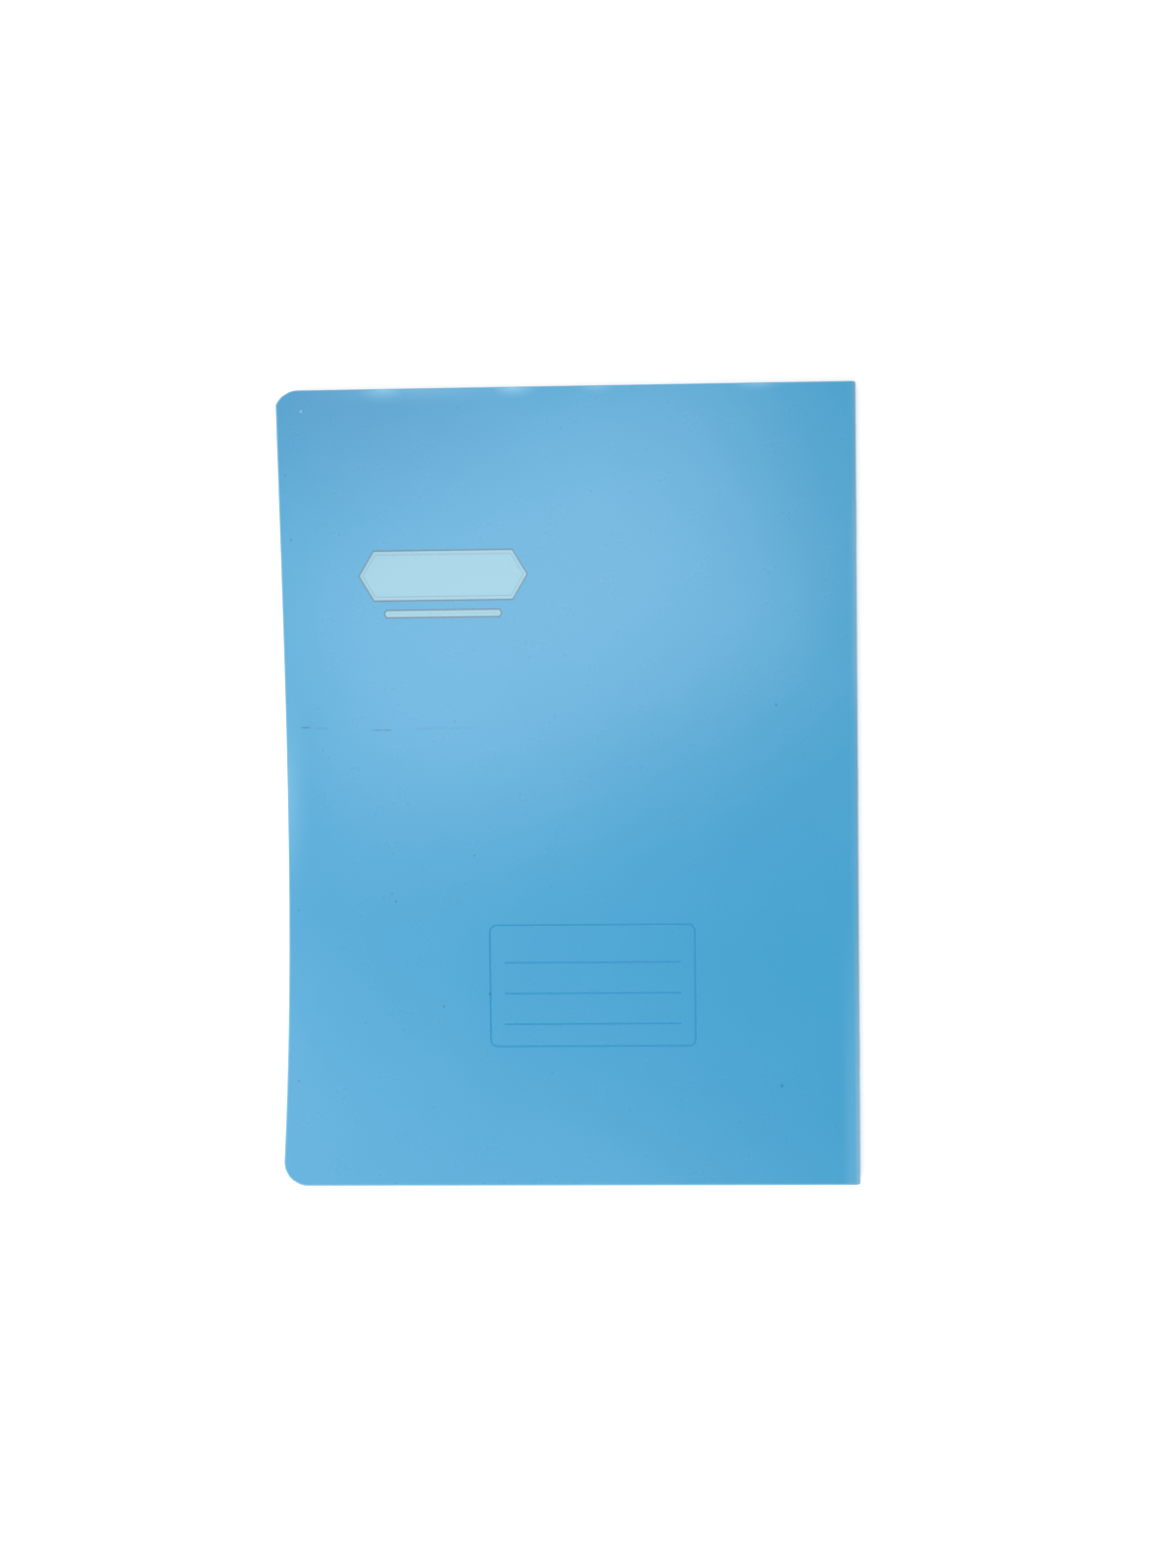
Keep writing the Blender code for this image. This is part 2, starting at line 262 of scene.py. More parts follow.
# %% Places on the front panel
EDGE_ROUND = 0.15 * MM
EDGE_THINNEST = 0.4
EDGE_STEPS = [0.0, 0.025 * MM, 0.07 * MM, EDGE_ROUND, 0.6 * MM, 2 * MM]
PANEL_CENTRE = np.array([FORE_X + 110.8 * MM, 71.2 * MM - HALF_HEIGHT])
PANEL_SIZE = np.array([73.5, 44.0]) * MM
PANEL_CORNER = 2.9 * MM
GROOVE_WIDTH = 1.0 * MM
GROOVE_DEPTH = 0.08 * MM
LINE_LENGTH = 63.0 * MM
LINE_PITCH = 10.9 * MM
LINE_DROP = 2.7 * MM
LINE_HEIGHTS = PANEL_CENTRE[1] - LINE_DROP + LINE_PITCH * np.array([1, 0, -1])
print("writing lines at y =", np.round(LINE_HEIGHTS / MM, 1), "mm")


# %% Profile of the grooves
def groove_share(x, y):
    """0 on the flat and 1 at the bottom of a groove: half a cosine wave across its width.

    The frame's middle line is a rounded rectangle, and a point's distance to it is
    |length of the outer offset + inner offset - radius|. A writing line is a segment.
    """
    middle = PANEL_SIZE / 2 - GROOVE_WIDTH / 2
    radius = PANEL_CORNER - GROOVE_WIDTH / 2
    out_x = np.abs(x - PANEL_CENTRE[0]) - middle[0] + radius
    out_y = np.abs(y - PANEL_CENTRE[1]) - middle[1] + radius
    outside = np.hypot(np.maximum(out_x, 0), np.maximum(out_y, 0))
    nearest = np.abs(outside + np.minimum(np.maximum(out_x, out_y), 0) - radius)
    reach = LINE_LENGTH / 2 - GROOVE_WIDTH / 2
    past_end = np.maximum(np.abs(x - PANEL_CENTRE[0]) - reach, 0)
    for height in LINE_HEIGHTS:
        nearest = np.minimum(nearest, np.hypot(past_end, y - height))
    across = np.clip(nearest / (GROOVE_WIDTH / 2), 0, 1)
    return 0.5 + 0.5 * np.cos(math.pi * across)


print("depth share in the middle of a line:", groove_share(PANEL_CENTRE[0], LINE_HEIGHTS[1]))

# %% Rows and columns of the front panel
GROOVE_REACH, GROOVE_STEP = 0.6 * MM, 0.1 * MM
LINE_REACH, LINE_STEP = 0.56 * MM, 0.08 * MM
BEND_STEP = 0.2 * MM
PLAIN_START, PLAIN_END, PLAIN_COUNT = 5 * MM, 6 * MM, 38
CREASE_REACH, CREASE_COUNT = 3.4 * MM, 26
COVER_ARC_STEPS, COVER_ROW_COUNT = 20, 45


def fine_steps(places, reach, step):
    """Places with evenly spaced neighbours on both sides, out to the reach."""
    around = np.arange(-reach, reach + step / 2, step)
    return (np.array(places)[:, None] + around[None, :]).ravel()


side_lines = PANEL_CENTRE[0] + np.array([-1, 1]) * (PANEL_SIZE[0] - GROOVE_WIDTH) / 2
end_lines = PANEL_CENTRE[1] + np.array([-1, 1]) * (PANEL_SIZE[1] - GROOVE_WIDTH) / 2
line_ends = PANEL_CENTRE[0] + np.array([-1, 1]) * (LINE_LENGTH - GROOVE_WIDTH) / 2
corner_in = PANEL_CORNER * np.array([1, -1])
edge_columns = FORE_X + np.array(EDGE_STEPS)
plain_columns = np.linspace(FORE_X + PLAIN_START, COVER_END_X - PLAIN_END, PLAIN_COUNT)
crease_columns = COVER_END_X - np.linspace(0, CREASE_REACH, CREASE_COUNT)
panel_columns = np.concatenate([
    fine_steps(side_lines, GROOVE_REACH, GROOVE_STEP),
    fine_steps(side_lines + corner_in / 2, PANEL_CORNER / 2, BEND_STEP),
    fine_steps(line_ends, GROOVE_REACH, GROOVE_STEP),
])
FRONT_COLUMNS = np.unique(np.round(np.concatenate(
    [edge_columns, plain_columns, crease_columns, panel_columns]), SAME_PLACE_DIGITS))
BACK_COLUMNS = np.concatenate([edge_columns, plain_columns, crease_columns[::-1]])
PLAIN_ROWS = np.linspace(-1, 1, COVER_ROW_COUNT) * (HALF_HEIGHT - CORNER_RADIUS)
panel_rows = np.concatenate([
    fine_steps(end_lines, GROOVE_REACH, GROOVE_STEP),
    fine_steps(end_lines + corner_in / 2, PANEL_CORNER / 2, BEND_STEP),
    fine_steps(LINE_HEIGHTS, LINE_REACH, LINE_STEP),
])
COVER_ROWS = corner_rows(0.0, EDGE_STEPS, COVER_ARC_STEPS, PLAIN_ROWS)
FRONT_ROWS = corner_rows(
    0.0, EDGE_STEPS, COVER_ARC_STEPS, np.concatenate([PLAIN_ROWS, panel_rows]))
print("front panel grid:", len(FRONT_ROWS), "rows,", len(FRONT_COLUMNS), "columns")


# %% Make the two panels
def edge_share(distance):
    """Share of the full thickness at a distance from the cut edge: a quarter ellipse that
    starts at EDGE_THINNEST and reaches 1 at the end of the rounding."""
    along = np.clip(distance / EDGE_ROUND, 0, 1)
    return EDGE_THINNEST + (1 - EDGE_THINNEST) * np.sqrt(1 - (1 - along) ** 2)


def cover_panel(name, rows, columns, middle_z, outer_sign, pressed_and_shaded):
    """One flat panel. Its outer face may have the name panel pressed in, and the inner face
    stays flat."""
    x, y = follow_fore_edge(columns, rows, 0.0)
    rim = rim_distance(x, y)
    half = COVER_THICK / 2 * edge_share(rim)
    groove = groove_share(x, y) if pressed_and_shaded else np.zeros_like(x)
    top = np.stack([x, y, middle_z + half - groove * GROOVE_DEPTH], axis=-1)
    bottom = np.stack([x, y, middle_z - half], axis=-1)
    outer = [np.full_like(x, float(outer_sign > 0)), np.full_like(x, float(outer_sign < 0))]
    return slab(name, top, bottom, np.stack([x, y], axis=-1), {
        "rim": both_faces(rim, rim),
        "groove": both_faces(groove, np.zeros_like(x)),
        "outer": both_faces(*outer),
    })


front_panel = cover_panel(
    "front_cover_panel", FRONT_ROWS, FRONT_COLUMNS, TOP_Z - COVER_THICK / 2, 1, True)
back_panel = cover_panel(
    "back_cover_panel", COVER_ROWS, BACK_COLUMNS, COVER_THICK / 2, -1, False)
print("cover panels:", len(front_panel.data.polygons), len(back_panel.data.polygons), "faces")

# %% [markdown]
# ## Folded strips
# The cover and each sheet bend round the fold line. Pressed flat in a stack, the bend isn't
# quite half a circle: it stays level a little longer and then turns faster, which a
# superellipse follows well. A strip is that profile carried along the fold, with a short flat
# start on top and a short flat end below. Each gather of four sheets has four nested strips,
# as on the real book, where the back shows one fine line for each sheet.

# %% Folded strips
FOLD_POWER = 2.7
COVER_FOLD_STEPS = 33


def fold_profile(steps):
    """x, z round a fold of radius 1 from its upper end to its lower end. The superellipse is
    |x|^p + |z|^p = 1, so at the turn a its point is cos(a)^(2/p), sin(a)^(2/p)."""
    turn = np.linspace(math.pi / 2, -math.pi / 2, steps)
    across, up = np.clip(np.cos(turn), 0, 1), np.sin(turn)
    return across ** (2 / FOLD_POWER), np.sign(up) * np.abs(up) ** (2 / FOLD_POWER)


def folded_grids(inner, outer, flat, rows, steps, thickness_share):
    """Outer face, inner face and place map of one strip, which is thinner towards its ends by
    the share given for each row. The place map runs round the fold by its length, so a grain
    keeps its scale there."""
    middle, half = (inner + outer) / 2, (outer - inner) / 2
    share = thickness_share[:, None]
    turn_x, turn_z = fold_profile(steps)
    unit_x = np.concatenate([[0.0], turn_x, [0.0]])
    unit_z = np.concatenate([[1.0], turn_z, [-1.0]])
    faces = []
    for sign in (1, -1):
        radius = middle + sign * half * share
        x = FOLD_X + radius * unit_x[None, :]
        x[:, [0, -1]] -= flat
        z = FOLD_Z + radius * unit_z[None, :]
        faces.append(np.stack([x, np.broadcast_to(rows[:, None], x.shape), z], axis=-1))
    length = math.pi * middle
    along = np.concatenate([[-flat], np.linspace(0, length, steps), [length + flat]])
    u, v = np.meshgrid(FOLD_X + along, rows)
    return faces[0], faces[1], np.stack([u, v], axis=-1)


def joined(pieces, name):
    """Several slabs as one mesh object."""
    bpy.ops.object.select_all(action="DESELECT")
    for piece in pieces:
        piece.select_set(True)
    bpy.context.view_layer.objects.active = pieces[0]
    if len(pieces) > 1:
        bpy.ops.object.join()
    pieces[0].name = name
    pieces[0].data.name = name
    return pieces[0]


outer_grid, inner_grid, fold_place = folded_grids(
    FOLD_Z - COVER_THICK, FOLD_Z, FOLD_X - COVER_END_X, COVER_ROWS, COVER_FOLD_STEPS,
    edge_share(HALF_HEIGHT - np.abs(COVER_ROWS)))
fold_rim = HALF_HEIGHT - np.abs(outer_grid[..., 1])
cover_fold = slab("cover_fold_strip", outer_grid, inner_grid, fold_place, {
    "rim": both_faces(fold_rim, fold_rim),
    "groove": both_faces(0 * fold_rim, 0 * fold_rim),
    "outer": both_faces(1 + 0 * fold_rim, 0 * fold_rim),
})
print("cover fold:", len(cover_fold.data.polygons), "faces")

# %% [markdown]
# ## The leaves
# Each leaf is a thin slab with the trimmed outline. The trimmer never cuts forty leaves
# exactly alike, so each one is set in by a few hundredths of a millimetre more or less. The
# random numbers are seeded, so the book is the same each time. The heights of the leaves come
# from the solids they stand for.

# %% Leaves
LEAF_ROW_COUNT, LEAF_COLUMN_COUNT, LEAF_ARC_STEPS = 15, 27, 11
LEAF_EDGE_STEPS = [0.0, 1 * MM]
LEAF_CROWDING = 1.6
LEAF_ROWS_BETWEEN = np.linspace(-1, 1, LEAF_ROW_COUNT) * (HALF_HEIGHT - CORNER_RADIUS)
TRIM_SPREAD = 0.08 * MM
TRIM_SEED = 7
trim_random = np.random.default_rng(TRIM_SEED)


def make_leaf(number):
    """One leaf between the faces of its solid, reaching the fold line where its strip starts.
    Its columns stand closest at the fold: distance = share^crowding * width."""
    low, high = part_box(f"leaf_{number:02d}")
    inset = low[0] - FORE_X + float(trim_random.uniform(0, TRIM_SPREAD))
    rows = corner_rows(inset, LEAF_EDGE_STEPS, LEAF_ARC_STEPS, LEAF_ROWS_BETWEEN)
    bends = np.linspace(0, 1, LEAF_COLUMN_COUNT) ** LEAF_CROWDING
    columns = FOLD_X - bends[::-1] * (FOLD_X - FORE_X - inset)
    x, y = follow_fore_edge(columns, rows, inset)
    top = np.stack([x, y, np.full_like(x, high[2])], axis=-1)
    bottom = np.stack([x, y, np.full_like(x, low[2])], axis=-1)
    rim = rim_distance(x, y, inset)
    return slab(f"page_{number:02d}", top, bottom, np.stack([x, y], axis=-1), {
        "rim": both_faces(rim, rim),
        "upper": both_faces(1 + 0 * x, 0 * x),
    })


leaves = {number: make_leaf(number) for number in range(1, LEAF_COUNT + 1)}
print("leaves:", len(leaves), "of", len(leaves[1].data.polygons), "faces each")

# %% [markdown]
# ## The folds of the sheets
# The leaves stop at the fold line, and each sheet goes on round it as a thin folded strip
# from its front leaf to its back leaf. The strips of one gather are joined into one piece,
# because they bend together.

# %% Folds of the sheets
SHEET_HALF_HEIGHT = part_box("sheet_fold_1")[1][1]
SHEET_ROW_COUNT, SHEET_FOLD_STEPS = 9, 15
SHEET_ROWS = np.linspace(-SHEET_HALF_HEIGHT, SHEET_HALF_HEIGHT, SHEET_ROW_COUNT)
FAR_FROM_RIM = 10 * MM


def make_gather_folds(gather):
    """The nested folds of one gather, each between the heights of its sheet's two leaves."""
    strips = []
    for sheet in range((gather - 1) * SHEETS_IN_GATHER + 1, gather * SHEETS_IN_GATHER + 1):
        low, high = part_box(f"leaf_{sheet:02d}")
        outer, inner, place = folded_grids(
            low[2] - FOLD_Z, high[2] - FOLD_Z, 0.0, SHEET_ROWS, SHEET_FOLD_STEPS,
            np.ones_like(SHEET_ROWS))
        outer, inner, place = outer[:, 1:-1], inner[:, 1:-1], place[:, 1:-1]
        zero = 0 * outer[..., 0]
        strips.append(slab(f"fold_of_sheet_{sheet}", outer, inner, place, {
            "rim": both_faces(zero + FAR_FROM_RIM, zero + FAR_FROM_RIM),
            "upper": both_faces(zero + 1, zero),
        }))
    return joined(strips, f"sheet_folds_{gather}")


sheet_folds = {gather: make_gather_folds(gather) for gather in range(1, GATHER_COUNT + 1)}
print("sheet folds:", len(sheet_folds), "gathers")

# %% [markdown]
# ## Wire staples
# A staple starts as a straight wire. The machine bends two legs, drives them through the fold
# and turns their ends in, which also flattens the crown a little against the cover. The wire
# is a circle carried along a path of straight runs and short arcs, and its section is pressed
# to an oval along the crown.

# %% Staples
WIRE_RADIUS = 0.25 * MM
WIRE_BEND = 0.4 * MM
BEND_STEPS = 7
CLINCH_LENGTH = 3.5 * MM
CROWN_PRESS = 0.28 * MM
CROWN_WIDTH_SHARE = 0.55
WIRE_SIDES = 12
WIRE_TIP_SHARE = 0.75
WIRE_SHARP_ANGLE = 50


def rounded_path(corners, radius, arc_steps):
    """Points along straight runs joined by arcs: at each corner the arc's centre lies one
    radius back and one radius ahead."""
    runs = [np.array(corners[0])[None, :]]
    for before, at, after in zip(corners, corners[1:], corners[2:]):
        back = (np.array(before) - at) / np.linalg.norm(np.array(before) - at)
        ahead = (np.array(after) - at) / np.linalg.norm(np.array(after) - at)
        turn = np.linspace(0, math.pi / 2, arc_steps)[:, None]
        centre = np.array(at) + radius * (back + ahead)
        runs.append(centre - radius * (np.cos(turn) * ahead + np.sin(turn) * back))
    runs.append(np.array(corners[-1])[None, :])
    return np.concatenate(runs)


def wire(name, path, flatten):
    """A tube round a path in one plane. Ring point = path + r * (cos a * side + sin a * up),
    with the side squeezed by flatten and the two ends drawn in to small flat tips."""
    ahead = np.gradient(path, axis=0)
    ahead /= np.linalg.norm(ahead, axis=1)[:, None]
    up = np.array([0.0, 0.0, 1.0])
    side = np.cross(ahead, up)
    angle = np.linspace(0, 2 * math.pi, WIRE_SIDES + 1)[:-1]
    scale = np.full(len(path), WIRE_RADIUS)
    scale[[0, -1]] *= WIRE_TIP_SHARE
    around = (np.cos(angle)[None, :, None] * (side * flatten[:, None])[:, None, :]
              + np.sin(angle)[None, :, None] * up)
    points = path[:, None, :] + scale[:, None, None] * around
    count = len(path) * WIRE_SIDES
    number = np.arange(count).reshape(len(path), WIRE_SIDES)
    wrapped = np.concatenate([number, number[:, :1]], axis=1)
    quads = np.stack([wrapped[:-1, :-1], wrapped[:-1, 1:], wrapped[1:, 1:], wrapped[1:, :-1]],
                     axis=-1).reshape(-1, 4)
    first, last = wrapped[0], wrapped[-1]
    caps = np.concatenate([
        np.stack([first[1:], first[:-1], 0 * first[1:] + count], axis=1),
        np.stack([last[:-1], last[1:], 0 * last[1:] + count + 1], axis=1)])
    mesh = bpy.data.meshes.new(name)
    mesh.from_pydata(np.concatenate([points.reshape(-1, 3), path[[0, -1]]]).tolist(), [],
                     quads.tolist() + caps.tolist())
    mesh.shade_smooth()
    mesh.set_sharp_from_angle(angle=math.radians(WIRE_SHARP_ANGLE))
    piece = bpy.data.objects.new(name, mesh)
    bpy.context.scene.collection.objects.link(piece)
    return piece


def make_staple(number):
    """One staple in the place of its solid, whose box gives the crown and the legs."""
    low, high = (np.array(corner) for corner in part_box(f"staple_{number}"))
    crown_x = high[0] - WIRE_RADIUS - CROWN_PRESS
    ends = low[1] + WIRE_RADIUS, high[1] - WIRE_RADIUS
    tips = ends[0] + CLINCH_LENGTH, ends[1] - CLINCH_LENGTH
    corners = [(FOLD_X, tips[0], FOLD_Z), (FOLD_X, ends[0], FOLD_Z), (crown_x, ends[0], FOLD_Z),
               (crown_x, ends[1], FOLD_Z), (FOLD_X, ends[1], FOLD_Z), (FOLD_X, tips[1], FOLD_Z)]
    path = rounded_path(corners, WIRE_BEND, BEND_STEPS)
    on_crown = path[:, 0] > crown_x - WIRE_BEND / 2
    return wire(f"wire_staple_{number}", path, np.where(on_crown, CROWN_WIDTH_SHARE, 1.0))


STAPLE_COUNT = sum(name.startswith("staple_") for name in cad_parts)
staples = {number: make_staple(number) for number in range(1, STAPLE_COUNT + 1)}
print("staples:", len(staples))

# %% [markdown]
# ## Writing materials as expressions
# A finish is a small calculation over the surface. Written as Python expressions it reads
# like one: Value wraps a socket and each operator adds one Math node. Every other node comes
# from one method that takes the node's type, its settings and its inputs.


# %% Shader helpers
class Value:
    """A number over the surface. Operators on it add Math nodes to its material."""

    def __init__(self, finish, socket):
        self.finish = finish
        self.socket = socket

    def math(self, operation, *others, clamp=False):
        node = self.finish.node("ShaderNodeMath", {"operation": operation, "use_clamp": clamp},
                                dict(enumerate((self, *others))))
        return node.value()

    def __add__(self, other):
        return self.math("ADD", other)

    def __sub__(self, other):
        return self.math("SUBTRACT", other)

    def __mul__(self, other):
        return self.math("MULTIPLY", other)

    def __truediv__(self, other):
        return self.math("DIVIDE", other)

    def __radd__(self, other):
        return self + other

    def __rmul__(self, other):
        return self * other

    def __rsub__(self, other):
        return self * -1.0 + other

    def __abs__(self):
        return self.math("ABSOLUTE")

    def least(self, other):
        return self.math("MINIMUM", other)

    def most(self, other):
        return self.math("MAXIMUM", other)

    def clamped(self):
        return self.math("ADD", 0.0, clamp=True)

    def step_down(self, start, end):
        """1 below start and 0 above end, with a smooth run between them."""
        node = self.finish.node(
            "ShaderNodeMapRange", {"interpolation_type": "SMOOTHSTEP"},
            {"Value": self, "From Min": start, "From Max": end, "To Min": 1.0, "To Max": 0.0})
        return node.value()


class Node:
    """A node just made, which hands out its outputs as values or as plain sockets."""

    def __init__(self, finish, made):
        self.finish = finish
        self.made = made

    def value(self, output=0):
        return Value(self.finish, self.made.outputs[output])

    def out(self, output=0):
        return self.made.outputs[output]


class Finish:
    """A material being written, or the world if one is handed in."""

    def __init__(self, name, world=None):
        self.material = world or bpy.data.materials.new(name)
        self.material.use_nodes = True
        self.tree = self.material.node_tree
        self.tree.nodes.clear()

    def node(self, kind, settings=None, inputs=None):
        """Adds a node: settings first, then socket values or links by name or number."""
        made = self.tree.nodes.new(kind)
        for key, setting in (settings or {}).items():
            setattr(made, key, setting)
        for key, given in (inputs or {}).items():
            socket = made.inputs[key]
            given = given.socket if isinstance(given, Value) else given
            if isinstance(given, bpy.types.NodeSocket):
                self.tree.links.new(given, socket)
            else:
                socket.default_value = given
        return Node(self, made)

    def mixed(self, share, first, second):
        """Colour between two colours."""
        return self.node("ShaderNodeMix", {"data_type": "RGBA"},
                         {0: share, 6: first, 7: second}).out(2)

    def layered(self, colour, masks, layers):
        """The colour under its layers, from the bottom up. A layer has a share and a tint, and
        its mask times its share mixes the tint in."""
        for name, mask in masks.items():
            share, tint = layers[name]
            colour = self.mixed(mask * share, colour, tint)
        return colour

    def place(self):
        """The piece's UV map in metres as a vector, and its x and y as values."""
        where = self.node("ShaderNodeUVMap", {"uv_map": "place"}).out()
        parts = self.node("ShaderNodeSeparateXYZ", {}, {0: where})
        return where, parts.value(0), parts.value(1)

    def attribute(self, name):
        """The value that the mesh holds under this name."""
        return self.node("ShaderNodeAttribute", {"attribute_name": name}).value("Fac")

    def noise(self, where, scale, detail, roughness=0.5):
        """Soft random values from 0 to 1 at so many waves a metre."""
        return self.node("ShaderNodeTexNoise", {}, {
            "Vector": where, "Scale": scale, "Detail": detail, "Roughness": roughness}).value()

    def done(self, inputs, bumps=()):
        """Closes the material with one Principled shader. Bumps are (height, distance) pairs."""
        normal = None
        for height, distance in bumps:
            given = {"Height": height, "Distance": distance, "Strength": 1.0}
            if normal is not None:
                given["Normal"] = normal
            normal = self.node("ShaderNodeBump", {}, given).out()
        if normal is not None:
            inputs = {**inputs, "Normal": normal}
        shader = self.node("ShaderNodeBsdfPrincipled", {}, inputs)
        self.node("ShaderNodeOutputMaterial", {}, {"Surface": shader.out()})
        return self.material


def linear(red, green, blue):
    """A colour given as 0 to 255 screen values, as the linear numbers that shaders take: the
    screen's standard curve, v / 12.92 for dark values and ((v + 0.055) / 1.055)^2.4 above."""
    screen = np.array([red, green, blue]) / 255
    light = np.where(screen <= 0.04045, screen / 12.92, ((screen + 0.055) / 1.055) ** 2.4)
    return (*[float(channel) for channel in light], 1.0)


def most_of(values):
    """The largest of several values at each point."""
    largest, *others = values
    for other in others:
        largest = largest.most(other)
    return largest


def distance(x, y):
    """How far a point lies from the zero of x and y: sqrt(x^2 + y^2)."""
    return (x * x + y * y).math("SQRT")


print("middle grey as a linear number:", round(linear(128, 128, 128)[0], 3))

# %% [markdown]
# ## The satin plastic
# The cover is sky-blue polypropylene with a fine matt grain. Its gloss is broad and soft, so
# a lamp overhead shows as a wide pale glow, which comes from the roughness alone and isn't
# painted. The colour drifts slightly. One head corner has a painted sheen, paler and greyer,
# and the pressed grooves have painted shade, darker in the hollows, and look duller. A book
# carried in a bag also has small dark specks and a long scuff. Its cut edge is paler, partly
# wear and partly a painted edge highlight. Along its head lie painted highlights, and where it
# turns at the fold and beside the fold it has painted reflection with some stress whitening.
# Near the head a blank plate is printed with a bar below it, each a pale field inside a thin
# dark outline. Each of these is a mask, a number from 0 to 1 over the surface, that lays one
# more tint over the colour.

# %% Places of print and wear on the front
# A speck is its pixel x, its pixel y and its radius in millimetres.
SPECKS = {
    "by_the_fore_edge": (297, 551, 0.45), "upper_left": (291, 485, 0.35),
    "middle": (484, 873, 0.45), "left_pair_low": (404, 920, 0.5),
    "left_pair_high": (400, 912, 0.35), "above_panel": (453, 1027, 0.5),
    "under_scuff": (464, 736, 0.4), "right_upper": (792, 719, 0.55),
    "right_lower": (798, 1108, 0.6), "fore_low": (305, 929, 0.35),
    "panel_side": (500, 1014, 0.5), "tail_left": (305, 1103, 0.45),
    "upper_middle": (572, 437, 0.35),
}
# A scuff is the pixel x of its two ends, its pixel y and its strength.
SCUFFS = {
    "fore_start": (306, 318, 742.4, 1.0),
    "fore_faint": (321, 336, 743.2, 0.5),
    "mid_mark": (376, 401, 745.2, 1.0),
    "long_fade": (415, 492, 743.6, 0.3),
}
# A patch is its middle, half width and half height in pixels, and its strength. The five
# patches along the head are painted highlights; the other two are pale spots.
PALE_PATCHES_AND_SHEEN = {
    "head_first": (391, 396, 46, 19, 0.65), "head_second": (523, 393, 34, 16, 0.8),
    "head_third": (608, 391, 26, 12, 0.6), "head_fourth": (772, 388, 36, 13, 0.65),
    "head_left": (430, 397, 150, 20, 0.25), "fore_middle": (292, 815, 30, 150, 0.3),
    "light_speck": (307, 420, 2.2, 2.2, 1.0),
}
# The corner of painted sheen, paler and greyer, is given in the same way, without a strength.
SHEEN_CORNER = (330, 400, 240, 130)
PLATE_PIXEL = (452, 587)
BAR_PIXEL = (452, 626)
print("specks:", len(SPECKS), "scuffs:", len(SCUFFS), "patches of wear and sheen:", len(PALE_PATCHES_AND_SHEEN))

# %% Soft spots, and the printed plate
PLATE_HALF = (30.0 * MM, 9.0 * MM)
BAR_HALF = (21.0 * MM, 1.5 * MM)
PLATE_END_SLOPE = 0.6
FIELD_FADE = (-0.12 * MM, 0.0)
OUTLINE_IN, OUTLINE_WIDTH = 0.2 * MM, (0.16 * MM, 0.26 * MM)
KEYLINE_IN, KEYLINE_WIDTH = 1.6 * MM, (0.08 * MM, 0.2 * MM)
KEYLINE_SHARE = 0.45


def soft_spot(x, y, pixel_x, pixel_y, half_width, half_height):
    """1 in the middle of an ellipse given in pixels and 0 outside, with an even run between:
    1 - sqrt((x / half width)^2 + (y / half height)^2)."""
    middle_x, middle_y = on_cover(pixel_x, pixel_y)
    reach_x = on_cover(pixel_x + half_width, pixel_y)[0] - middle_x
    reach_y = middle_y - on_cover(pixel_x, pixel_y + half_height)[1]
    return (1 - distance((x - middle_x) / reach_x, (y - middle_y) / reach_y)).clamped()


def past_plate(x, y, centre, half):
    """How far a point lies past the border of a six-sided plate, which is below 0 inside: the
    larger of its distances past the slanted ends and past the straight sides."""
    off_x, off_y = abs(x - centre[0]), abs(y - centre[1])
    return (off_x + off_y * PLATE_END_SLOPE - half[0]).most(off_y - half[1])


def printed_masks(x, y):
    """The pale field of plate and bar, and their lines: an outline just inside the border and
    a fainter keyline further in."""
    past = past_plate(x, y, on_cover(*PLATE_PIXEL), PLATE_HALF).least(
        past_plate(x, y, on_cover(*BAR_PIXEL), BAR_HALF))
    outline = abs(past + OUTLINE_IN).step_down(*OUTLINE_WIDTH)
    keyline = abs(past + KEYLINE_IN).step_down(*KEYLINE_WIDTH)
    return past.step_down(*FIELD_FADE), (outline + keyline * KEYLINE_SHARE).clamped()


print("plate centred on", np.round(on_cover(*PLATE_PIXEL), 3))

# %% Dark marks
SPECK_FULL, SPECK_END = 0.4, 1.1
SCUFF_FULL = 0.55
SCUFF_WANDER = 0.5 * MM
SCUFF_WIDTH = (0.1 * MM, 0.35 * MM)
SCUFF_GAPS, SCUFF_GAIN = 0.25, 4.0


def dark_marks(x, y, scratch):
    """1 in a speck or a scuff and 0 elsewhere. A speck is a small soft disc. A scuff is a soft
    line: a noise moves it up and down, and where that noise is low the line has a gap."""
    marks = []
    for pixel_x, pixel_y, radius in SPECKS.values():
        speck_x, speck_y = on_cover(pixel_x, pixel_y)
        away = distance(x - speck_x, y - speck_y)
        marks.append(away.step_down(radius * MM * SPECK_FULL, radius * MM * SPECK_END))
    for start, end, height, strength in SCUFFS.values():
        left, line_y = on_cover(start, height)
        right = on_cover(end, height)[0]
        half = (right - left) / 2
        along = abs(x - (left + right) / 2).step_down(half * SCUFF_FULL, half)
        across = abs(y - line_y + (scratch - 0.5) * SCUFF_WANDER).step_down(*SCUFF_WIDTH)
        broken = (scratch - SCUFF_GAPS).clamped() * SCUFF_GAIN * strength
        marks.append((along * across * broken).clamped())
    return most_of(marks)


scuff_lengths = [(on_cover(end, height)[0] - on_cover(start, height)[0]) / MM
                 for start, end, height, strength in SCUFFS.values()]
print("scuffs", np.round(scuff_lengths, 1), "mm long")

# %% Pale wear and painted sheen
# A pale line on the cut edge: partly wear, partly a painted edge highlight.
EDGE_WEAR_AND_HIGHLIGHT, EDGE_WEAR_AND_HIGHLIGHT_RUN = 0.55, (0.05 * MM, 0.6 * MM)
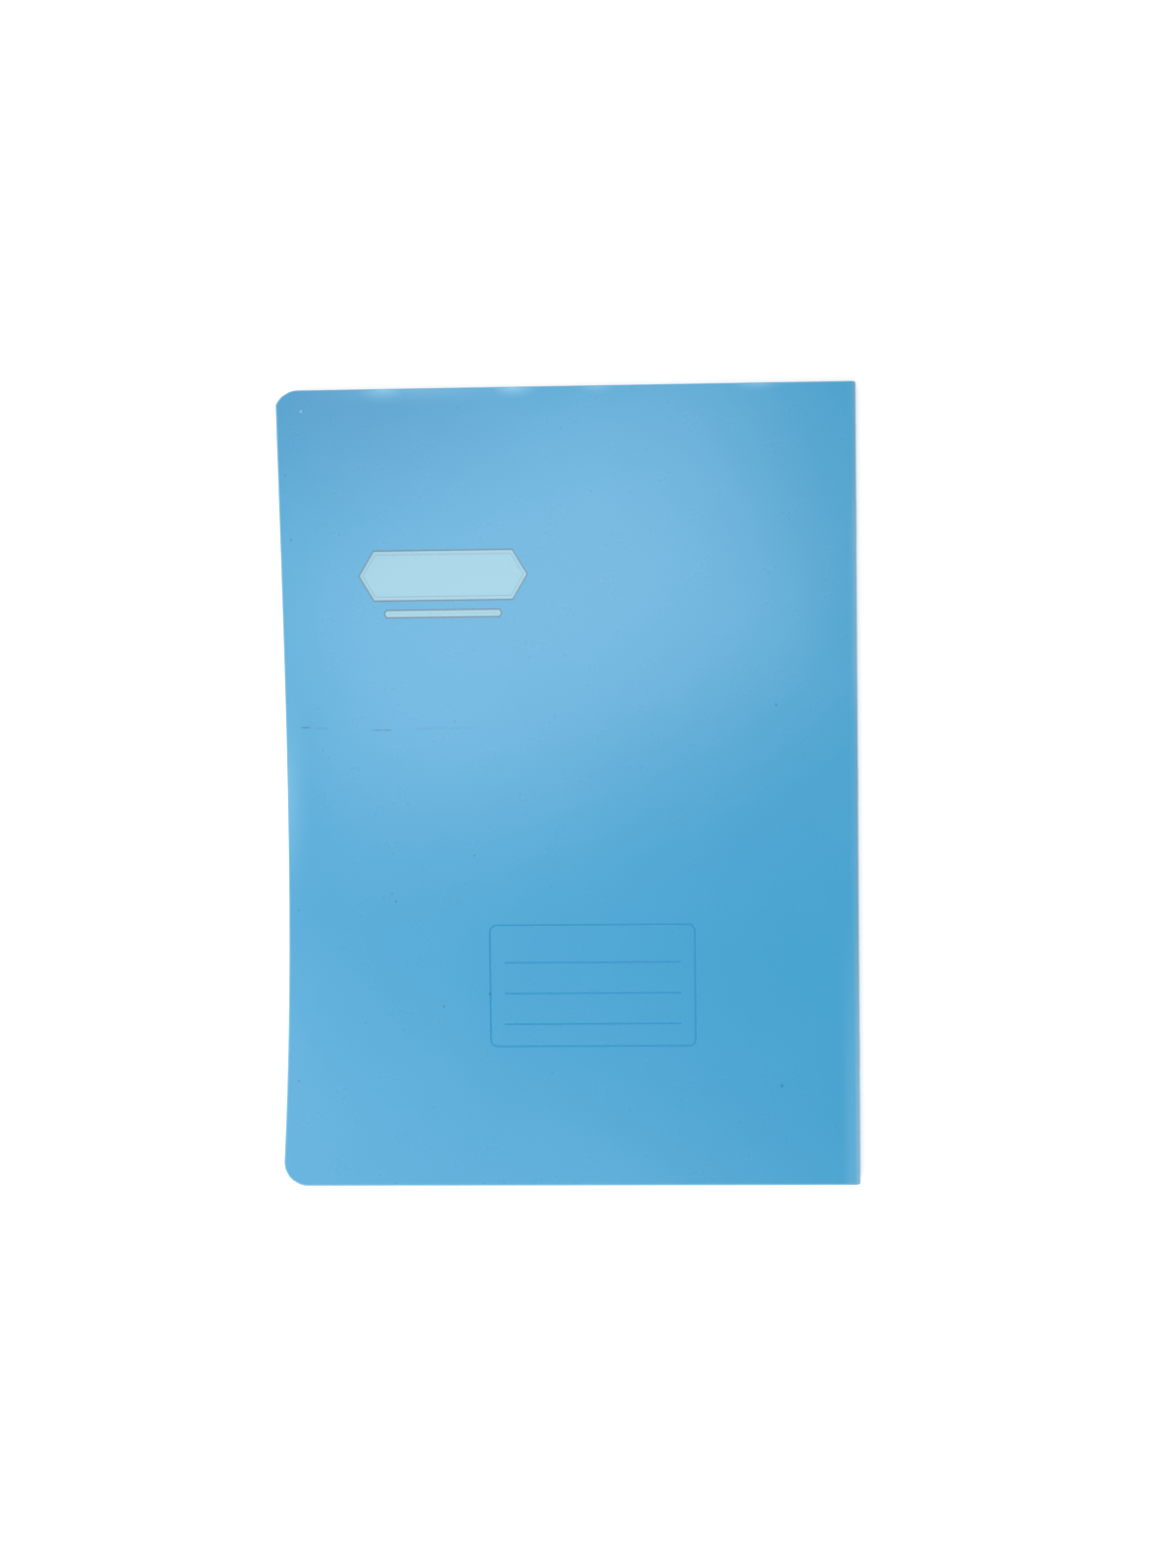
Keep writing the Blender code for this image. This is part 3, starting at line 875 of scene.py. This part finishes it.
# Painted reflection with some stress whitening where the cover turns at the fold, stronger
# towards the tail and at a shoulder, and painted sheen on the strip beside the fold.
FOLD_REFLECTION_AND_WHITENING, FOLD_REFLECTION_RUN = 0.3, (FOLD_X - 0.6 * MM, FOLD_X + 2.2 * MM)
BESIDE_FOLD_SHEEN, BESIDE_FOLD_RUN = 0.18, (FOLD_X - 5.0 * MM, FOLD_X + 2.0 * MM)
TAIL_REFLECTION, TAIL_RUN = 0.35, (-0.12, -0.03)
SHOULDER_REFLECTION, SHOULDER_Y, SHOULDER_RUN = 0.2, 0.065, (0.02, 0.05)


def pale_wear_and_sheen(x, y, rim, on_front):
    """The most of four pale marks: a line on the cut edge, partly wear and partly a painted edge
    highlight; the patches on the front, which are painted highlights along the head; a painted
    reflection with some stress whitening where the cover turns down at the fold; and painted
    sheen on the strip beside the fold towards the tail."""
    patches = []
    for *where, strength in PALE_PATCHES_AND_SHEEN.values():
        near = soft_spot(x, y, *where)
        patches.append(near * near * strength)
    turned = 1 - x.step_down(*FOLD_REFLECTION_RUN)
    beside_fold = 1 - x.step_down(*BESIDE_FOLD_RUN)
    tail_end = y.step_down(*TAIL_RUN)
    shoulder = abs(y - SHOULDER_Y).step_down(*SHOULDER_RUN)
    return most_of([
        rim.step_down(*EDGE_WEAR_AND_HIGHLIGHT_RUN) * EDGE_WEAR_AND_HIGHLIGHT,
        most_of(patches) * on_front,
        turned * (FOLD_REFLECTION_AND_WHITENING + tail_end * TAIL_REFLECTION + shoulder * SHOULDER_REFLECTION),
        beside_fold * tail_end * BESIDE_FOLD_SHEEN,
    ])


print(f"sheen beside the fold starts {(FOLD_X - BESIDE_FOLD_RUN[0]) / MM:.0f} mm before it")

# %% Cover finish
COVER_DEEP, COVER_LIGHT = linear(43, 155, 203), linear(57, 163, 209)
# Noises: waves a metre and detail.
COVER_NOISES = {
    "drift": (14.0, 3.0), "cloud": (90.0, 4.0), "grain": (2600.0, 2.0),
    "fibre": (700.0, 3.0), "scratch": (420.0, 2.0),
}
# Layers: share and tint.
COVER_LAYERS = {
    "clouded": (0.08, linear(76, 168, 212)),
    "fibrous": (0.04, linear(34, 138, 190)),
    # Painted sheen: one head corner paler and greyer.
    "painted_sheen_corner": (0.45, linear(88, 150, 199)),
    "printed_field": (0.92, linear(146, 198, 216)),
    "printed_lines": (0.9, linear(46, 62, 74)),
    # Painted shade: the grooves are tinted darker.
    "pressed_and_shaded": (0.45, linear(20, 134, 190)),
    "marked": (0.95, linear(0, 118, 160)),
    # Pale wear, with painted highlights, reflection and sheen.
    "worn_and_sheen": (1.0, linear(165, 222, 250)),
}
GROOVE_SHADE_GAIN = 2.2
SATIN_ROUGHNESS = 0.275
CLOUD_ROUGHNESS, SHEEN_AND_WEAR_ROUGHNESS, PRESSED_ROUGHNESS = 0.01, 0.08, 0.5
PLASTIC_IOR = 1.49
DRIFT_BUMP, FINE_BUMP = 0.25 * MM, 0.001 * MM


def cover_plastic():
    """The satin sky-blue plastic of all three cover pieces."""
    finish = Finish("sky_blue_cover")
    place, x, y = finish.place()
    rim, groove, outer, on_front = (
        finish.attribute(name) for name in ("rim", "groove", "outer", "front"))
    noises = {name: finish.noise(place, *waves) for name, waves in COVER_NOISES.items()}
    drift, cloud, fibre = noises["drift"], noises["cloud"], noises["fibre"]
    field, lines = printed_masks(x, y)
    # Painted shade: darker in the pressed grooves, which are also rougher.
    pressed_and_shaded = (groove * GROOVE_SHADE_GAIN).clamped()
    # Pale wear, with painted highlights, reflection and sheen.
    worn_and_sheen = pale_wear_and_sheen(x, y, rim, on_front)
    colour = finish.layered(finish.mixed(drift, COVER_DEEP, COVER_LIGHT), {
        "clouded": cloud,
        "fibrous": fibre,
        # Painted sheen: one head corner paler and greyer.
        "painted_sheen_corner": soft_spot(x, y, *SHEEN_CORNER) * on_front,
        "printed_field": field * on_front,
        "printed_lines": lines * on_front,
        "pressed_and_shaded": pressed_and_shaded,
        "marked": dark_marks(x, y, noises["scratch"]) * on_front,
        "worn_and_sheen": worn_and_sheen.clamped() * outer,
    }, COVER_LAYERS)
    roughness = (SATIN_ROUGHNESS + (cloud - 0.5) * CLOUD_ROUGHNESS + worn_and_sheen * SHEEN_AND_WEAR_ROUGHNESS
                 + pressed_and_shaded * PRESSED_ROUGHNESS)
    return finish.done(
        {"Base Color": colour, "Roughness": roughness, "IOR": PLASTIC_IOR},
        [(drift, DRIFT_BUMP), (noises["grain"], FINE_BUMP), (fibre, FINE_BUMP)])


COVER_PIECES = ((front_panel, 1.0), (back_panel, 0.0), (cover_fold, 0.0))
for piece, is_front in COVER_PIECES:
    count = len(piece.data.vertices)
    outer_values = np.empty(count, np.float32)
    piece.data.attributes["outer"].data.foreach_get("value", outer_values)
    layer = piece.data.attributes.new("front", "FLOAT", "POINT")
    layer.data.foreach_set("value", outer_values * is_front)
COVER_FINISH = cover_plastic()
print("cover finish:", len(COVER_FINISH.node_tree.nodes), "nodes")

# %% [markdown]
# ## Ruled paper
# The pages are off-white writing paper with pale blue rules 8 mm apart, a wider head margin
# and one red margin line. Rules are worked out from the place on the page, so they bend with
# it. The book opens to the right, so the margin is at the right of each page: by the fold on
# the upper face of a leaf and by the fore edge on its lower face.

# %% Paper finish
RULE_PITCH = 8.0 * MM
HEAD_MARGIN = 24.0 * MM
SIDE_MARGIN = 24.0 * MM
RULE_HALF = 0.13 * MM
RULE_RUN = (0.6 * RULE_HALF / RULE_PITCH, 1.4 * RULE_HALF / RULE_PITCH)
MARGIN_RUN = (0.7 * RULE_HALF, 1.5 * RULE_HALF)
FACE_RUN = (0.0, 0.05 * MM)
AGED_RUN = (0.2 * MM, 3.0 * MM)
INK_EVEN, INK_ON_CUT = 0.6, 0.4
PAPER_DEEP, PAPER_LIGHT = linear(247, 246, 240), linear(252, 251, 247)
# Noises: waves a metre, detail and roughness.
PAPER_NOISES = {"fibre": (900.0, 4.0, 0.6), "tone": (25.0, 2.0, 0.5)}
# Layers: share and tint.
PAPER_LAYERS = {
    "fibrous": (0.35, linear(226, 224, 214)),
    "ruled": (0.8, linear(140, 176, 214)),
    "margin_line": (0.8, linear(214, 122, 128)),
    "aged": (0.12, linear(230, 224, 206)),
}
PAPER_ROUGHNESS, FIBRE_ROUGHNESS = 0.86, 0.1
PAPER_IOR = 1.45
FIBRE_BUMP = 0.01 * MM


def ruled_paper():
    """Off-white paper with printed rules on both faces of a leaf. A rule runs wherever the
    distance from the head margin is a whole number of pitches."""
    finish = Finish("ruled_paper")
    place, x, y = finish.place()
    rim, upper = (finish.attribute(name) for name in ("rim", "upper"))
    fibre, tone = (finish.noise(place, *waves) for waves in PAPER_NOISES.values())
    on_face = 1 - rim.step_down(*FACE_RUN)
    ink = (fibre * (1 - INK_EVEN) + INK_EVEN).clamped() * (
        on_face * (1 - INK_ON_CUT) + INK_ON_CUT)

    down = (HALF_HEIGHT - HEAD_MARGIN) - y
    wave = (down / RULE_PITCH + 0.5).math("FRACT") - 0.5
    written = down.math("GREATER_THAN", -RULE_PITCH / 2)
    by_fold = abs(x - (FOLD_X - SIDE_MARGIN)).step_down(*MARGIN_RUN)
    by_fore = abs(x - (FORE_X + SIDE_MARGIN)).step_down(*MARGIN_RUN)
    margin = by_fold * upper + by_fore * (1 - upper)
    colour = finish.layered(finish.mixed(tone, PAPER_DEEP, PAPER_LIGHT), {
        "fibrous": (fibre - 0.5).clamped(),
        "ruled": abs(wave).step_down(*RULE_RUN) * written * ink,
        "margin_line": margin.clamped() * ink,
        "aged": rim.step_down(*AGED_RUN),
    }, PAPER_LAYERS)
    roughness = PAPER_ROUGHNESS + fibre * FIBRE_ROUGHNESS
    return finish.done(
        {"Base Color": colour, "Roughness": roughness, "IOR": PAPER_IOR}, [(fibre, FIBRE_BUMP)])


PAPER_FINISH = ruled_paper()
print("paper finish:", len(PAPER_FINISH.node_tree.nodes), "nodes")

# %% [markdown]
# ## Galvanised wire
# The staples are thin zinc-coated steel. Fine drawing lines run along the wire and a faint
# dull bloom lies over it, so its roughness varies along the length.

# %% Wire finish
ZINC_DULL, ZINC_BRIGHT = linear(178, 182, 188), linear(212, 214, 217)
BLOOM_WAVES, DRAWING_WAVES = (1800.0, 3.0), (9000.0, 2.0)
ZINC_ROUGHNESS, BLOOM_ROUGHNESS = 0.26, 0.2
DRAWING_BUMP = 0.002 * MM


def zinc_wire():
    """Bright drawn wire with a slightly clouded zinc coat."""
    finish = Finish("zinc_wire")
    place = finish.node("ShaderNodeTexCoord").out("Object")
    bloom = finish.noise(place, *BLOOM_WAVES)
    lines = finish.noise(place, *DRAWING_WAVES)
    colour = finish.mixed(bloom, ZINC_DULL, ZINC_BRIGHT)
    roughness = ZINC_ROUGHNESS + bloom * BLOOM_ROUGHNESS
    return finish.done({"Base Color": colour, "Metallic": 1.0, "Roughness": roughness},
                       [(lines, DRAWING_BUMP)])


WIRE_FINISH = zinc_wire()
print("wire finish:", len(WIRE_FINISH.node_tree.nodes), "nodes")

# %% [markdown]
# ## What moves with what
# The back cover lies still, and the folds join the still half to the opening half. Here the
# back panel, the leaves of the first front gather and the staples are hung on their bodies;
# the other pieces are left where they lie.


def dress(piece, material, slot_name, *nodes):
    """Gives a piece its finish and hides the solids it stands for. The slot name is not used."""
    piece.data.materials.append(material)
    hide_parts(*nodes)


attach(back_panel, "root")
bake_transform(front_panel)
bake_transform(cover_fold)
dress(back_panel, COVER_FINISH, "cover_plastic", "back_cover")
dress(front_panel, COVER_FINISH, "cover_plastic", "front_cover")
dress(cover_fold, COVER_FINISH, "cover_plastic", "cover_fold")

for number, leaf in leaves.items():
    in_front = number <= SHEET_COUNT
    sheet = number if in_front else LEAF_COUNT + 1 - number
    gather = (sheet - 1) // SHEETS_IN_GATHER + 1
    own = f"front_leaves_{gather}" if in_front else f"back_leaves_{gather}"
    base = "front_leaves_1" if in_front else "root"
    if own == base:
        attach(leaf, own)
    else:
        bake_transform(leaf)
    dress(leaf, PAPER_FINISH, "paper", f"leaf_{number:02d}")

for gather, strips in sheet_folds.items():
    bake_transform(strips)
    dress(strips, PAPER_FINISH, "paper", f"sheet_fold_{gather}")

for number, staple in staples.items():
    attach(staple, "staple_line")
    dress(staple, WIRE_FINISH, "staple_wire", f"staple_{number}")
print("pieces dressed:", len(COVER_PIECES) + len(leaves) + len(sheet_folds) + len(staples))

# %% [markdown]
# ## Table and white surroundings
# The book lies on a white table in a white room. Table and room are plain and pale, and to
# the camera they also glow, straight or in a mirror, so they read as white while the shadow
# under the book stays. The table lies just low enough for the staples, whose crowns come
# round under the fold when the book lies open.

# %% Floor
FLOOR_DROP = 0.9 * MM
FLOOR_HALF = 3.0
FLOOR_POINTS = 5
FLOOR_GREY = (0.8, 0.8, 0.8, 1.0)
NEAR_FLOOR, FAR_FLOOR = 0.16, 0.7
NEAR_GLOW, FAR_GLOW = 0.4, 0.75


def plainly_seen(finish):
    """1 for rays from the camera, straight or by a mirror or through glass, and 0 for the
    rays that carry light from surface to surface."""
    path = finish.node("ShaderNodeLightPath")
    return most_of([
        path.value(f"Is {kind} Ray") for kind in ("Camera", "Glossy", "Transmission")])


def white_table():
    """Diffuse white, plus a little light of its own that only the camera sees. Far from the
    book, where the lamps hardly reach, it glows more, so the table stays white to its edge."""
    finish = Finish("white_table")
    paint = finish.node("ShaderNodeBsdfDiffuse", {}, {"Color": FLOOR_GREY})
    place = finish.node("ShaderNodeTexCoord").out("Object")
    away = finish.node("ShaderNodeVectorMath", {"operation": "LENGTH"}, {0: place}).value("Value")
    near = away.step_down(NEAR_FLOOR, FAR_FLOOR)
    strength = near * NEAR_GLOW + (1 - near) * FAR_GLOW
    glow = finish.node("ShaderNodeEmission", {}, {"Strength": plainly_seen(finish) * strength})
    both = finish.node("ShaderNodeAddShader", {}, {0: paint.out(), 1: glow.out()})
    finish.node("ShaderNodeOutputMaterial", {}, {"Surface": both.out()})
    return finish.material


floor_line = np.linspace(-FLOOR_HALF, FLOOR_HALF, FLOOR_POINTS)
floor_x, floor_y = np.meshgrid(floor_line, floor_line)
floor_points = np.stack([floor_x, floor_y, np.full_like(floor_x, -FLOOR_DROP)], axis=-1)
floor_mesh = bpy.data.meshes.new("table_top")
floor_mesh.from_pydata(floor_points.reshape(-1, 3).tolist(), [],
                       grid_quads(FLOOR_POINTS, FLOOR_POINTS).tolist())
floor_mesh.materials.append(white_table())
floor = bpy.data.objects.new("table_top", floor_mesh)
bpy.context.scene.collection.objects.link(floor)
print(f"table {FLOOR_DROP / MM:.1f} mm below the book, {2 * FLOOR_HALF:.0f} m across")

# %% World
WORLD_LIGHT = 0.35
WHITE = (1.0, 1.0, 1.0, 1.0)
room = Finish("white_room", bpy.data.worlds.new("white_room"))
room_strength = plainly_seen(room) * (1 - WORLD_LIGHT) + WORLD_LIGHT
room_light = room.node(
    "ShaderNodeBackground", {}, {"Color": WHITE, "Strength": room_strength})
room.node("ShaderNodeOutputWorld", {}, {"Surface": room_light.out()})
bpy.context.scene.world = room.material
print("room light", WORLD_LIGHT)

# %% [markdown]
# ## Lamps
# The wide pale glow on the upper part of the cover is a soft lamp seen in the satin plastic.
# Light leaves the cover at the angle it came in, so the lamp's place follows from the glow's
# place and the camera's: it is the camera's mirror image, carried on up to the lamp's height.
# Two more lamps do the same for the paler stretches at the left and the lower left.

# %% Lamps
LAMP_HEIGHT = 0.85
# A lamp is the pixel of its glow, its width and depth in metres and its power in watts.
LAMPS = {
    "overhead_soft_box": ((542, 613), (0.51, 0.34), 2.62),
    "lower_soft_box": ((367, 1432), (0.78, 0.78), 4.0),
    "left_soft_box": ((90, 1033), (0.2, 0.2), 0.98),
}


def mirrored_place(glow, height):
    """Where a lamp at a height shows as a glow at a point: the point plus the ray from the
    camera, turned back upwards and made as long as the height asks."""
    spot = np.array([*glow, TOP_Z])
    ray = spot - CAMERA_PLACE
    ray[2] = -ray[2]
    return spot + ray * (height - TOP_Z) / ray[2]


def soft_lamp(name, glow, size, power):
    """A rectangular soft box whose glow lies at a pixel of the photograph, aimed at the book."""
    place = Vector(mirrored_place(on_cover(*glow), LAMP_HEIGHT))
    lamp = bpy.data.lights.new(name, "AREA")
    lamp.shape = "RECTANGLE"
    lamp.size, lamp.size_y = size
    lamp.energy = power
    holder = bpy.data.objects.new(name, lamp)
    holder.location = place
    holder.rotation_euler = (-place).to_track_quat("-Z", "Y").to_euler()
    bpy.context.scene.collection.objects.link(holder)
    print(name, "at", np.round(place, 3))


for lamp_name, setup in LAMPS.items():
    soft_lamp(lamp_name, *setup)
